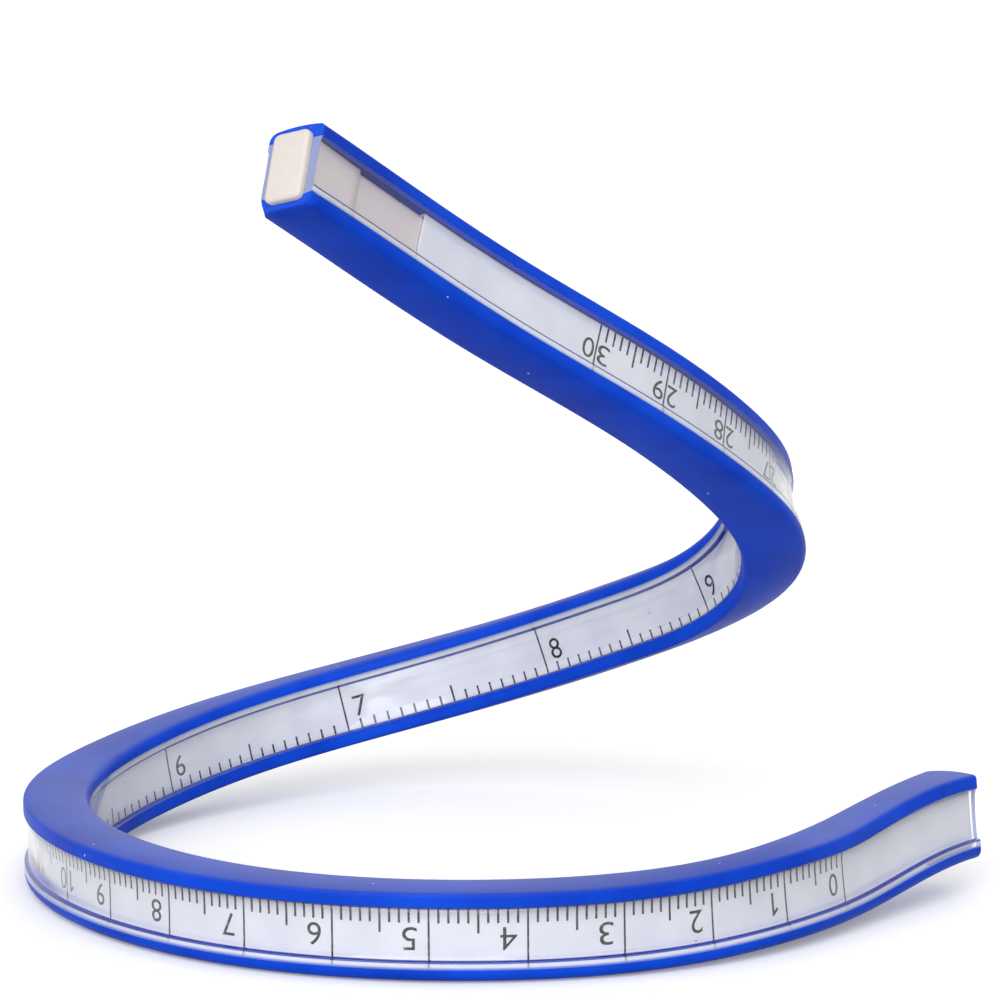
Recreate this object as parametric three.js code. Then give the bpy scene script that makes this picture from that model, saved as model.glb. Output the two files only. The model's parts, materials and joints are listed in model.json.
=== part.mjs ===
// Flexible curve ruler, 30 cm on one face and 12 in on the other, set in a rising coil.
// A soft sheath holds a printed sleeve, and the lead bar inside the sleeve keeps every bend.
// Units are millimetres, +Z is up, and the lower loop of the coil rests on Z = 0.

import * as THREE from 'three';

// Sheath
const LENGTH = 350;           // along the middle, end face to end face
const WIDTH = 7.2;            // between the two scale faces
const HEIGHT = 9.5;           // between the two drawing edges
const ROOF = 1.2;             // blue wall above and below the cavity
const TICK_LEG = 0.5;         // blue wall beyond the roof, on the side where the scale lines start
const LIP_LEG = 0.25;         // the same on the side of the clear lip
const TICK_EDGE_RADIUS = 0.6; // outer corner of a rail above the scale lines
const LIP_EDGE_RADIUS = 0.9;  // its other outer corner, which a pen runs along
const WINDOW_WALL = 1.0;      // clear wall in front of the scale
const WINDOW_RECESS = 0.4;    // window face behind the face of the rails
const WINDOW_HOLLOW = 0.08;   // how far the middle of a window face curves in
const WINDOW_COVE = 1.5;      // height of the curve from a window face out to the rail
const LIP_HEIGHT = 0.8;       // clear lip that stands level with the rails
const LIP_SLOPE = 0.6;        // height of the slope from the lip in to the window face

// Inside the sheath
const SLEEVE_CLEARANCE = 0.1; // all round, between the sheath and the sleeve
const SLEEVE_WALL = 0.35;     // white plastic strip, folded round the bar
const BAR_CLEARANCE = 0.1;    // all round, between the sleeve and the lead bar
const BAR_CHAMFER = 0.5;      // corners of the lead bar

// End plugs
const PLUG_PROUD = 0.8;       // the plug of the far end stands out of the sheath
const ZERO_PLUG_PROUD = 0;    // the plug of the zero end is pushed in flush
const PLUG_CHAMFER = 0.4;     // edge of its outer face
const PLUG_HEAD = 4.5;        // tight part, inside the mouth of the sheath
const PLUG_SHANK = 5.5;       // slimmer part behind it
const PLUG_NECK = 0.35;       // step from head to shank
const PLUG_CLEARANCE = 0.12;  // all round, between the sheath and the plug's head
const PLUG_CORNER = 0.6;      // corners of the plug's section
const END_CLEARANCE = 0.3;    // between the plug and the ends of sleeve and bar

// Links: the stretches that stay as they are while the ruler is bent between them
const BEND_POINTS = [38, 76, 112, 146, 178, 208, 238, 270]; // along the middle
const LINK_CLEARANCE = 0.3;   // between the end faces of two links
const RING_STEP = 4.5;        // longest straight run between two rings of a link

// The bend that was photographed: station along the middle, then degrees per centimetre of
// turn to the left, of lift and of twist
const BENDS = [
  [0, -1, -8.5, 10], [10, 2, -3, 1], [20, 4, 6, -5.5], [30, -11, 0.5, 1], [45, -15, 2, -3],
  [65, -13, 0, 0], [90, -14, 0, 0], [115, -10, 0, 0], [140, -11, 0, 0], [160, -15, 3, -4],
  [180, -8, -1.5, -2.5], [200, -26, 2.5, -1.5], [220, -11, 2, -2], [240, -2, 1, 1.5],
  [253, -11, 10.5, -6], [263, -25, 9.5, -14], [273, -23, 2, -11.5], [285, -10, 2, -5],
  [300, -9, 2, -1], [320, 4, 0.5, 1], [350, 5, -5.5, -2],
];
const DATUM = 62;             // station that lies flat, where the route is started
const HEADING = 188;          // its direction, in degrees from +X towards +Y
const ROUTE_STEP = 1;         // integration step along the middle

// Colours and finish
const blueVinyl = { color: 0x1038c8, roughness: 0.42, metalness: 0 };
const clearVinyl = {
  color: 0xe4e6f0, roughness: 0.2, metalness: 0, transparent: true, opacity: 0.35,
};
const whiteStrip = { color: 0xdddde4, roughness: 0.55, metalness: 0 };
const whitePlug = { color: 0xede6e2, roughness: 0.5, metalness: 0 };
const lead = { color: 0x6d6f75, roughness: 0.6, metalness: 0.8 };

// Route of the middle line, as frames of a point and three axes: along, left and up
const rateAt = (station) => {
  const last = BENDS.length - 1;
  let k = 0;
  while (k < last - 1 && station > BENDS[k + 1][0]) k += 1;
  const [from, to] = [BENDS[k], BENDS[k + 1]];
  const t = THREE.MathUtils.clamp((station - from[0]) / (to[0] - from[0]), 0, 1);
  const perMm = THREE.MathUtils.DEG2RAD / 10;
  return [1, 2, 3].map((i) => THREE.MathUtils.lerp(from[i], to[i], t) * perMm);
};

const stepAlong = (frame, station, distance) => {
  const [turn, lift, twist] = rateAt(station + distance / 2);
  const spin = frame.up.clone().multiplyScalar(turn)
    .addScaledVector(frame.left, -lift)
    .addScaledVector(frame.along, twist)
    .multiplyScalar(distance);
  const angle = spin.length();
  if (angle > 0) spin.divideScalar(angle);
  const turned = (axis) => axis.clone().applyAxisAngle(spin, angle);
  const along = turned(frame.along);
  const mean = frame.along.clone().add(along).normalize();
  return {
    point: frame.point.clone().addScaledVector(mean, distance),
    along,
    left: turned(frame.left),
    up: turned(frame.up),
  };
};

const heading = HEADING * THREE.MathUtils.DEG2RAD;
const datumFrame = {
  point: new THREE.Vector3(0, 0, HEIGHT / 2),
  along: new THREE.Vector3(Math.cos(heading), Math.sin(heading), 0),
  left: new THREE.Vector3(-Math.sin(heading), Math.cos(heading), 0),
  up: new THREE.Vector3(0, 0, 1),
};

const routeFrom = (direction, distance) => {
  const frames = [datumFrame];
  for (let i = 0; i * ROUTE_STEP < distance; i += 1) {
    const station = DATUM + direction * i * ROUTE_STEP;
    frames.push(stepAlong(frames[i], station, direction * ROUTE_STEP));
  }
  return frames;
};

const spare = PLUG_PROUD + 2 * ROUTE_STEP;
const onward = routeFrom(1, LENGTH - DATUM + spare);
const backward = routeFrom(-1, DATUM + spare);

const frameAt = (station) => {
  const frames = station < DATUM ? backward : onward;
  const place = Math.abs(station - DATUM) / ROUTE_STEP;
  const k = Math.min(Math.floor(place), frames.length - 2);
  const [a, b] = [frames[k], frames[k + 1]];
  const mix = (key) => a[key].clone().lerp(b[key], place - k);
  return {
    point: mix('point'),
    left: mix('left').normalize(),
    up: mix('up').normalize(),
  };
};

// A point of the section, left and up of the middle line, at one station
const placed = (frame, [left, up]) => frame.point.clone()
  .addScaledVector(frame.left, left)
  .addScaledVector(frame.up, up);

// Solid through rings of one outline. Each ring gives a station and its outline, and holes
// run through the whole length. Two neighbours that share an edge of their outlines share
// the faces along it, because the diagonal of a face depends only on its two points.
const sweptSolid = (rings, hole) => {
  const positions = [];
  const indices = [];
  const loops = hole ? [rings.map((ring) => ring.outline), rings.map(() => hole)]
    : [rings.map((ring) => ring.outline)];
  const starts = [];
  loops.forEach((outlines) => {
    starts.push(positions.length / 3);
    outlines.forEach((outline, k) => {
      const frame = frameAt(rings[k].station);
      outline.forEach((point) => positions.push(...placed(frame, point).toArray()));
    });
  });
  loops.forEach((outlines, l) => {
    const count = outlines[0].length;
    const index = (k, i) => starts[l] + k * count + (i % count);
    for (let k = 0; k < rings.length - 1; k += 1) {
      for (let i = 0; i < count; i += 1) {
        const [p, q] = [outlines[k][i], outlines[k][(i + 1) % count]];
        const [a, b, c, d] = [index(k, i), index(k, i + 1), index(k + 1, i + 1), index(k + 1, i)];
        const pFirst = p[0] < q[0] || (p[0] === q[0] && p[1] < q[1]);
        if (pFirst) indices.push(a, b, c, a, c, d);
        else indices.push(a, b, d, b, c, d);
      }
    }
  });
  const flat = (outline) => outline.map(([left, up]) => new THREE.Vector2(left, up));
  const cap = (k, facing) => {
    const faces = THREE.ShapeUtils.triangulateShape(
      flat(loops[0][k]),
      loops.slice(1).map((outlines) => flat(outlines[k])),
    );
    const count = loops[0][k].length;
    const index = (i) => (i < count ? starts[0] + k * count + i
      : starts[1] + k * loops[1][k].length + (i - count));
    faces.forEach(([a, b, c]) => {
      indices.push(index(a), ...(facing > 0 ? [index(b), index(c)] : [index(c), index(b)]));
    });
  };
  cap(0, -1);
  cap(rings.length - 1, 1);
  const geometry = new THREE.BufferGeometry();
  geometry.setAttribute('position', new THREE.Float32BufferAttribute(positions, 3));
  geometry.setIndex(indices);
  geometry.computeVertexNormals();
  return geometry;
};

// Section of the sheath: the outlines run anticlockwise, seen from the far end
const face = WIDTH / 2;
const edge = HEIGHT / 2;
const pane = face - WINDOW_RECESS;
const cavitySide = pane - WINDOW_WALL;
const cavityTop = edge - ROOF;
const tickJoint = cavityTop - TICK_LEG; // where a window meets the rail above its lines
const lipJoint = cavityTop - LIP_LEG;   // where the lip meets the other rail
const lipTop = lipJoint - LIP_HEIGHT;

const corner = (x, y, radius, from) => {
  const points = [];
  for (let i = 0; i <= 3; i += 1) {
    const angle = (from + i * 30) * THREE.MathUtils.DEG2RAD;
    points.push([x + radius * Math.cos(angle), y + radius * Math.sin(angle)]);
  }
  return points;
};
const tickRadius = Math.min(TICK_EDGE_RADIUS, ROOF + TICK_LEG);
const lipRadius = Math.min(LIP_EDGE_RADIUS, ROOF + LIP_LEG);

const upperRail = [
  [face, tickJoint],
  ...corner(face - tickRadius, edge - tickRadius, tickRadius, 0),
  ...corner(lipRadius - face, edge - lipRadius, lipRadius, 90),
  [-face, lipJoint],
  [-cavitySide, lipJoint],
  [-cavitySide, cavityTop],
  [cavitySide, cavityTop],
  [cavitySide, tickJoint],
];
const cove = [0, 30, 60, 90].map((angle) => {
  const turn = angle * THREE.MathUtils.DEG2RAD;
  return [WINDOW_RECESS * Math.cos(turn) - face, WINDOW_COVE * (1 - Math.sin(turn)) - tickJoint];
});
const inchWindow = [
  [-cavitySide, lipJoint],
  [-face, lipJoint],
  [-face, lipTop],
  [-pane, lipTop - LIP_SLOPE],
  [WINDOW_HOLLOW - pane, (lipTop - LIP_SLOPE + WINDOW_COVE - tickJoint) / 2],
  ...cove,
  [-cavitySide, -tickJoint],
];
const turnedHalfRound = (outline) => outline.map(([left, up]) => [-left, -up]);
const lowerRail = turnedHalfRound(upperRail);
const cmWindow = turnedHalfRound(inchWindow);

// What fills the cavity: rectangles with cut corners
const block = (side, top, cut) => [
  [side, cut - top], [side, top - cut], [side - cut, top], [cut - side, top],
  [-side, top - cut], [-side, cut - top], [cut - side, -top], [side - cut, -top],
];
const rectangle = (side, top) => [[side, -top], [side, top], [-side, top], [-side, -top]];
const inset = (distance) => [cavitySide - distance, cavityTop - distance];
const sleeveOutline = rectangle(...inset(SLEEVE_CLEARANCE));
const sleeveHole = rectangle(...inset(SLEEVE_CLEARANCE + SLEEVE_WALL)).reverse();
const barOutline = block(...inset(SLEEVE_CLEARANCE + SLEEVE_WALL + BAR_CLEARANCE), BAR_CHAMFER);

// Links
const ends = [0, ...BEND_POINTS, LENGTH];
const fillStart = PLUG_HEAD + PLUG_SHANK + END_CLEARANCE;
const fillEnd = LENGTH - fillStart;

const linkStations = (k) => {
  const start = ends[k] + (k > 0 ? LINK_CLEARANCE / 2 : 0);
  const end = ends[k + 1] - (k < ends.length - 2 ? LINK_CLEARANCE / 2 : 0);
  const steps = Math.ceil((end - start) / RING_STEP);
  return Array.from({ length: steps + 1 }, (_, i) => start + ((end - start) * i) / steps);
};
const within = (stations, start, end) => {
  const kept = stations.filter((s) => s > start + 0.5 && s < end - 0.5);
  return [Math.max(start, stations[0]), ...kept.slice(stations[0] < start ? 0 : 1),
    Math.min(end, stations[stations.length - 1])];
};
const ringsOf = (stations, outline) => stations.map((station) => ({ station, outline }));

const meshOf = (name, geometry, finish) => {
  const mesh = new THREE.Mesh(geometry, new THREE.MeshStandardMaterial(finish));
  mesh.name = name;
  return mesh;
};

const link = (k) => {
  const group = new THREE.Group();
  const stations = linkStations(k);
  const inner = within(stations, fillStart, fillEnd);
  const number = k + 1;
  const sheathPart = (name, outline, finish) => group.add(
    meshOf(`${name}_${number}`, sweptSolid(ringsOf(stations, outline)), finish),
  );
  sheathPart('rail_upper', upperRail, blueVinyl);
  sheathPart('rail_lower', lowerRail, blueVinyl);
  sheathPart('window_cm', cmWindow, clearVinyl);
  sheathPart('window_inch', inchWindow, clearVinyl);
  group.add(
    meshOf(`sleeve_${number}`, sweptSolid(ringsOf(inner, sleeveOutline), sleeveHole), whiteStrip),
    meshOf(`lead_bar_${number}`, sweptSolid(ringsOf(inner, barOutline)), lead),
  );
  return group;
};

// Plug for one end: chamfered outer face, tight head and slimmer shank
const plug = (name, end, outward, proud) => {
  const ring = (depth, smaller) => ({
    station: end - outward * depth,
    outline: block(...inset(PLUG_CLEARANCE + smaller), PLUG_CORNER),
  });
  const rings = [
    ring(PLUG_HEAD + PLUG_SHANK, PLUG_NECK),
    ring(PLUG_HEAD, PLUG_NECK),
    ring(PLUG_HEAD, 0),
    ring(PLUG_CHAMFER - proud, 0),
    ring(-proud, PLUG_CHAMFER),
  ];
  if (outward < 0) rings.reverse();
  return meshOf(name, sweptSolid(rings), whitePlug);
};

const ruler = new THREE.Group();
for (let k = 0; k < ends.length - 1; k += 1) ruler.add(link(k));
ruler.children[0].add(plug('plug_zero_end', 0, -1, ZERO_PLUG_PROUD));
ruler.children[ends.length - 2].add(plug('plug_far_end', LENGTH, 1, PLUG_PROUD));

// The origin is on the resting surface, under the middle of the coil's outer box
const middle = new THREE.Box3().setFromObject(ruler).getCenter(new THREE.Vector3());
ruler.position.set(-middle.x, -middle.y, 0);
ruler.updateMatrixWorld(true);

export default ruler;
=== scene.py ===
# %% [markdown]
# # A flexible curve ruler
# The real object is one long strip of soft vinyl with a lead bar inside. It is drawn straight
# by an extruder and only then bent by hand, and this scene is made in the same order: every
# piece is modelled straight, with operators, and is laid along the bend as its last step.
#
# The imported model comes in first, as a fixed frame that everything is built around. Blender
# works in metres. This lesson works in millimetres until a piece is laid.

import json
from math import cos, radians, sin

import bmesh
import bpy
import numpy as np
from mathutils import Matrix, Vector


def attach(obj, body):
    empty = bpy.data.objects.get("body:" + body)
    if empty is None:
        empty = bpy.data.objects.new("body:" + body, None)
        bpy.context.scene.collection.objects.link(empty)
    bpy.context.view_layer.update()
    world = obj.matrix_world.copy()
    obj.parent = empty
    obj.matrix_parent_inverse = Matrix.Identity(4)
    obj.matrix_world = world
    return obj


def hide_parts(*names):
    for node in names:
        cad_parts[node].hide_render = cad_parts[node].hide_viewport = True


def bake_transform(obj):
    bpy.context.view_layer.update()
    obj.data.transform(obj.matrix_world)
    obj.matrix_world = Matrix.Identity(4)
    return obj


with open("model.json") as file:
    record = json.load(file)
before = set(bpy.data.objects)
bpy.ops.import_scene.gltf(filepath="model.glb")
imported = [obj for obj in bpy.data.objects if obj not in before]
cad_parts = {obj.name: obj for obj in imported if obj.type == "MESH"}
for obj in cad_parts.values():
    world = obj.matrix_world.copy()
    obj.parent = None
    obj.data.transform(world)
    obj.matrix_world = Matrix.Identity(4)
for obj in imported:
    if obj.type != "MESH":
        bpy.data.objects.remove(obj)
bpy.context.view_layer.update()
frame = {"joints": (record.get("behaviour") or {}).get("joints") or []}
MM_PER_CM = 10
MM_PER_METRE = 1000

# %% [markdown]
# ## The section
# "Left" points out of the centimetre face and "up" to the upper drawing edge. The section is
# the same after half a turn: each face has a blue rail over its scale lines, and a clear lip
# beside the other rail. Such a section could be drawn as one outline, but its two colours are
# separate streams of plastic in the real die, so each colour gets an outline of its own, and
# they share their joint faces. The soft plastic bulges a little, so each drawing edge is
# crowned, and the lip steps out of the window with a small ledge.

# %% Sizes of the section
LENGTH = 350
WIDTH = 7.2
HEIGHT = 9.5
ROOF = 1.2
CROWN = 0.3
TICK_LEG = 0.5
TICK_EDGE_RADIUS = 0.4
LIP_LEG = 0.25
LIP_EDGE_RADIUS = 0.9
LIP_HEIGHT = 0.8
LIP_LEDGE = 0.12
WINDOW_WALL = 1.0
WINDOW_RECESS = 0.4
WINDOW_HOLLOW = 0.08
WINDOW_COVE = 1.5

FACE = WIDTH / 2
EDGE = HEIGHT / 2
PANE = FACE - WINDOW_RECESS
CAVITY_SIDE = PANE - WINDOW_WALL
CAVITY_TOP = EDGE - ROOF
TICK_JOINT = CAVITY_TOP - TICK_LEG
LIP_JOINT = CAVITY_TOP - LIP_LEG
LIP_TOP = LIP_JOINT - LIP_HEIGHT
print(f"section {WIDTH} x {HEIGHT} mm, cavity {2 * CAVITY_SIDE:.1f} x {2 * CAVITY_TOP:.1f} mm")

# %% [markdown]
# ## The bend
# The real ruler was bent by hand, a little at a time, and stayed where it was put. A free
# curve object could draw that line, but it would say nothing about bending. Here the middle
# line is a list of bends: at each station along the ruler, the turn to the left, the
# lift and the twist, in degrees per centimetre.

# %% The bends
BENDS = np.array([
    (0, -1, -8.5, 10), (10, 2, -3, 1), (20, 4, 6, -5.5), (30, -11, 0.5, 1),
    (45, -15, 2, -3), (65, -13, 0, 0), (90, -14, 0, 0), (115, -10, 0, 0), (140, -11, 0, 0),
    (160, -15, 3, -4), (180, -8, -1.5, -2.5), (200, -26, 2.5, -1.5), (220, -11, 2, -2),
    (240, -2, 1, 1.5), (253, -11, 10.5, -6), (263, -25, 9.5, -14), (273, -23, 2, -11.5),
    (285, -10, 2, -5), (300, -9, 2, -1), (320, 4, 0.5, 1), (350, 5, -5.5, -2),
])
BEND_POINTS = (38, 76, 112, 146, 178, 208, 238, 270)


def bend_at(station):
    """Turn, lift and twist at a station, in radians per millimetre."""
    return [
        radians(np.interp(station, BENDS[:, 0], BENDS[:, i])) / MM_PER_CM for i in (1, 2, 3)
    ]


print("turn, lift, twist at the first joint:", [round(b, 4) for b in bend_at(BEND_POINTS[0])])

# %% [markdown]
# ## The middle line
# Adding the bends up gives the line. The walk starts at the datum, where the ruler lies flat
# on the table, and goes to both ends in steps of a millimetre. Each step turns the three axes
# by that millimetre's bend and moves the point on. A few spare steps past each end let pieces
# that stand proud find their place.

# %% Walking along the bends
DATUM = 62
HEADING = radians(188)
SPARE = 4


def walk(direction, distance):
    """Frames from the datum on, a millimetre apart: point, left, up."""
    point = Vector((0, 0, EDGE))
    along = Vector((cos(HEADING), sin(HEADING), 0))
    left = Vector((-sin(HEADING), cos(HEADING), 0))
    up = Vector((0, 0, 1))
    frames = [(point, left, up)]
    for i in range(distance):
        turn, lift, twist = bend_at(DATUM + direction * (i + 0.5))
        spin = (up * turn - left * lift + along * twist) * direction
        turned = Matrix.Rotation(spin.length, 3, spin) if spin.length else Matrix.Identity(3)
        ahead = turned @ along
        point = point + (along + ahead).normalized() * direction
        along, left, up = ahead, turned @ left, turned @ up
        frames.append((point, left, up))
    return frames


route = walk(-1, DATUM + SPARE)[:0:-1] + walk(1, LENGTH - DATUM + SPARE)
route_stations = np.arange(-SPARE, LENGTH + SPARE + 1)
route_table = [np.array([item[k] for item in route]) for k in range(3)]
print("steps along the ruler:", len(route))

# %% [markdown]
# ## Onto the frame
# The line has the right shape and still has to lie where the CAD model lies. One joint of the
# frame sits on the middle line, so the whole line moves until it passes through that joint.

# %% A frame at any station
ANCHOR_JOINT = "bend_2_3"
ANCHOR_STATION = BEND_POINTS[1]


def frame_at(station):
    """The middle line's point and its left and up axes at a station."""
    place = [
        Vector([np.interp(station, route_stations, column) for column in table.T])
        for table in route_table
    ]
    return place[0], place[1].normalized(), place[2].normalized()


anchor = next(joint for joint in frame["joints"] if joint["name"] == ANCHOR_JOINT)
shift = Vector(anchor["pos_m"]) * MM_PER_METRE - frame_at(ANCHOR_STATION)[0]
route_table[0] = route_table[0] + np.array(shift)
print("datum in the frame:", [round(x, 3) for x in frame_at(DATUM)[0]])

# %% [markdown]
# ## The camera
# The photograph was taken from a little above, with a long lens. The camera comes before the
# pieces, so that every render can be laid beside the photograph. Its place is given from the
# datum on the table, because that point was fitted together with the bends.

# %% Camera
CAMERA_FROM_DATUM = Vector((-3.44, -548.46, 131.53))
CAMERA_DOWN = 0.1507
CAMERA_ROLL = -0.0082
LENS = 201.6
NEAREST_SEEN = 0.01

datum_on_floor = frame_at(DATUM)[0] - Vector((0, 0, EDGE))
camera = bpy.data.objects.new("camera", bpy.data.cameras.new("camera"))
bpy.context.scene.collection.objects.link(camera)
aim = Matrix.Rotation(radians(90) - CAMERA_DOWN, 4, "X") @ Matrix.Rotation(CAMERA_ROLL, 4, "Z")
standpoint = (datum_on_floor + CAMERA_FROM_DATUM) / MM_PER_METRE
camera.matrix_world = Matrix.Translation(standpoint) @ aim
camera.data.lens = LENS
camera.data.clip_start = NEAREST_SEEN
bpy.context.scene.camera = camera
print("camera at", [round(x, 3) for x in standpoint])

# %% [markdown]
# ## Materials
# A finish is a small tree of nodes, and three helpers keep the trees short to read. One turns
# a written colour to linear light, one adds a node with its settings and links, and one
# starts a material with the values that are the same all over it.

# %% Colour, node and material helpers
def linear(hex_colour):
    channels = [int(hex_colour[i:i + 2], 16) / 255 for i in (1, 3, 5)]
    return [c / 12.92 if c <= 0.04045 else ((c + 0.055) / 1.055) ** 2.4 for c in channels] + [1]


def add(tree, kind, settings=None, links=None):
    """A node with its settings, and links as {socket: (node, output)}.

    The setting "stops" holds the colours of a ramp, each as (position, written colour).
    """
    node = tree.nodes.new(kind)
    for key, value in (settings or {}).items():
        if key == "stops":
            ramp = node.color_ramp.elements
            for element, (position, colour) in zip(ramp, (value[0], value[-1])):
                element.position, element.color = position, linear(colour)
            for position, colour in value[1:-1]:
                ramp.new(position).color = linear(colour)
        elif isinstance(key, str) and hasattr(node, key):
            setattr(node, key, value)
        else:
            node.inputs[key].default_value = value
    for socket, (source, output) in (links or {}).items():
        tree.links.new(source.outputs[output], node.inputs[socket])
    return node


def material(name, even):
    """A new material, with the values that are even all over its surface."""
    made = bpy.data.materials.new(name)
    made.use_nodes = True
    shader = made.node_tree.nodes["Principled BSDF"]
    for socket, value in even.items():
        shader.inputs[socket].default_value = value
    return made, made.node_tree, shader


print("mid grey in linear light:", round(linear("#808080")[0], 3))

# %% [markdown]
# ## Two patterns that come back
# Dust on the blue, specks in the white strip and dirt in the plug are all the same thing at
# different sizes: small dots, one in some cells of a Voronoi pattern. The sawn ends change
# colour on both kinds of vinyl. Each of the two patterns is written once.
#
# The extruded pieces read a "straight" attribute, which every vertex keeps from before the
# ruler was bent: its place along, to the left and up, in millimetres. A pattern on it follows
# the bend as a real one does, so its scale is one over a size in millimetres.

# %% Specks and sawn ends
def speckled(tree, place, ground, cells, rim, bare, colour, dimensions="3D"):
    """Specks on a ground colour: one in each cell, except for a bare share of the cells.

    rim gives the distance at which a speck begins and at which it is full, in cells.
    """
    grains = add(tree, "ShaderNodeTexVoronoi",
                 {"voronoi_dimensions": dimensions, "Scale": cells}, {"Vector": place})
    spot = add(tree, "ShaderNodeMapRange", {"From Min": rim[0], "From Max": rim[1]},
               {"Value": (grains, "Distance")})
    picked = add(tree, "ShaderNodeSeparateColor", None, {"Color": (grains, "Color")})
    some = add(tree, "ShaderNodeMath", {"operation": "GREATER_THAN", 1: bare},
               {0: (picked, "Red")})
    rare = add(tree, "ShaderNodeMath", {"operation": "MULTIPLY"},
               {0: (spot, "Result"), 1: (some, "Value")})
    return add(tree, "ShaderNodeMix", {"data_type": "RGBA", 7: linear(colour)},
               {0: (rare, "Value"), 6: ground})


def at_sawn_end(tree, along, begins, full):
    """Nothing along the ruler, and one at both ends, from these distances before the end."""
    from_middle = add(tree, "ShaderNodeMath", {"operation": "SUBTRACT", 1: LENGTH / 2},
                      {0: along})
    away = add(tree, "ShaderNodeMath", {"operation": "ABSOLUTE"}, {0: (from_middle, "Value")})
    return add(tree, "ShaderNodeMapRange",
               {"From Min": LENGTH / 2 - begins, "From Max": LENGTH / 2 - full},
               {"Value": (away, "Value")})


print("patterns ready: specks, sawn ends")

# %% [markdown]
# ## Blue vinyl
# The two rails are soft PVC, coloured right through and pushed hot through a die. That gives
# a satin skin with fine lines along its length and slow changes of shade. A stretched noise
# draws the lines, and drives roughness and bump as well as colour, because on the real skin
# all three come from the same scratches in the die. The gloss is set low, since the photo's
# rails hardly mirror anything.

# %% Blue vinyl: the extruded skin
# Extruded soft PVC: satin, hazy at a glancing look. Lines 25 mm long and a third of a
# millimetre wide, clouds of 8 mm.
blue_vinyl, tree, shader = material("extruded_blue_vinyl", {
    "IOR": 1.53, "Specular IOR Level": 0.07, "Sheen Weight": 0.05, "Sheen Roughness": 0.3,
})
straight = add(tree, "ShaderNodeAttribute", {"attribute_name": "straight"})
drawn_out = add(tree, "ShaderNodeMapping", {"Scale": (0.04, 3, 3)},
                {"Vector": (straight, "Vector")})
lines = add(tree, "ShaderNodeTexNoise", {"Scale": 1, "Detail": 5, "Roughness": 0.7},
            {"Vector": (drawn_out, "Vector")})
clouds = add(tree, "ShaderNodeTexNoise", {"Scale": 0.12, "Detail": 2},
             {"Vector": (straight, "Vector")})
shade = add(tree, "ShaderNodeValToRGB", {"stops": ((0.35, "#093FC4"), (0.65, "#0E4BD8"))},
            {"Fac": (clouds, "Fac")})
satin = add(tree, "ShaderNodeMapRange", {"To Min": 0.3, "To Max": 0.6},
            {"Value": (lines, "Fac")})
tree.links.new(satin.outputs["Result"], shader.inputs["Roughness"])
bump = add(tree, "ShaderNodeBump", {"Strength": 0.35, "Distance": 0.00004},
           {"Height": (lines, "Fac")})
tree.links.new(bump.outputs["Normal"], shader.inputs["Normal"])
print("blue vinyl skin:", len(tree.nodes), "nodes")

# %% [markdown]
# ### Dust on the blue
# Soft vinyl holds dust, and the photo shows a few pale dots on the blue. Loose grains could
# be modelled, but they are a tenth of a millimetre high. The pattern is flat, unrolled
# around the section, so that a grain stays round on every side of it.

# %% Blue vinyl: dust
# Cells of 7 mm, one in eight with a grain of a quarter of a millimetre.
cut = add(tree, "ShaderNodeSeparateXYZ", None, {"Vector": (straight, "Vector")})
around = add(tree, "ShaderNodeMath", {"operation": "ADD"}, {0: (cut, "Y"), 1: (cut, "Z")})
skin = add(tree, "ShaderNodeCombineXYZ", None, {"X": (cut, "X"), "Y": (around, "Value")})
dusty = speckled(tree, (skin, "Vector"), (shade, "Color"), cells=0.14, rim=(0.02, 0.013),
                 bare=0.87, colour="#C9D4F4", dimensions="2D")
print("dust added:", len(tree.nodes), "nodes")

# %% [markdown]
# ### The dark line at the window: painted shade
# Where a blue leg meets the clear wall, the photo shows one dark line, deep in the corner.
# Light hardly reaches it, so it is painted shade, on the leg's underside and only close to the
# cavity, so that the shelf in front of it stays blue.

# %% Blue vinyl: painted shade at the window
# Painted shade: a dark band deep in the corner, under the tick leg and close to the cavity.
height = add(tree, "ShaderNodeMath", {"operation": "ABSOLUTE"}, {0: (cut, "Z")})
shade_band = add(tree, "ShaderNodeMapRange",
           {"From Min": TICK_JOINT + 0.12, "From Max": TICK_JOINT + 0.06},
           {"Value": (height, "Value")})
depth = add(tree, "ShaderNodeMath", {"operation": "ABSOLUTE"}, {0: (cut, "Y")})
inner = add(tree, "ShaderNodeMapRange", {
    "From Min": CAVITY_SIDE + 0.4, "From Max": CAVITY_SIDE + 0.25, "To Min": 0.12,
}, {"Value": (depth, "Value")})
dark = add(tree, "ShaderNodeMath", {"operation": "MULTIPLY"},
           {0: (shade_band, "Result"), 1: (inner, "Result")})
with_shade_band = add(tree, "ShaderNodeMix", {"data_type": "RGBA", 7: linear("#141B50")},
             {0: (dark, "Value"), 6: (dusty, 2)})
print("seam added:", len(tree.nodes), "nodes")

# %% [markdown]
# ### The painted sheen on top
# The upper drawing edge is greyer than the sides, in streaks along its length, where it catches
# a glancing gloss of the bright room. A glossy layer would show that from one side only, so the
# sheen is painted into the colour, on the upward face, and it follows the die lines.

# %% Blue vinyl: painted sheen
# Painted sheen: the upward face is lightened to grey in streaks along the die lines.
upward = add(tree, "ShaderNodeMapRange",
             {"From Min": EDGE - CROWN - 0.25, "From Max": EDGE - CROWN + 0.1},
             {"Value": (cut, "Z")})
streaks = add(tree, "ShaderNodeMapRange",
              {"From Min": 0.3, "From Max": 0.7, "To Min": 0.08, "To Max": 0.5},
              {"Value": (lines, "Fac")})
painted_sheen = add(tree, "ShaderNodeMath", {"operation": "MULTIPLY"},
           {0: (streaks, "Result"), 1: (upward, "Result")})
with_painted_sheen = add(tree, "ShaderNodeMix", {"data_type": "RGBA", 7: linear("#626878")},
             {0: (painted_sheen, "Value"), 6: (with_shade_band, 2)})
print("film added:", len(tree.nodes), "nodes")

# %% [markdown]
# ### The sawn ends of the blue
# A saw leaves soft vinyl torn and lighter. The tears are finer than anything worth modelling,
# so a coarse noise lightens the last third of a millimetre.

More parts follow.
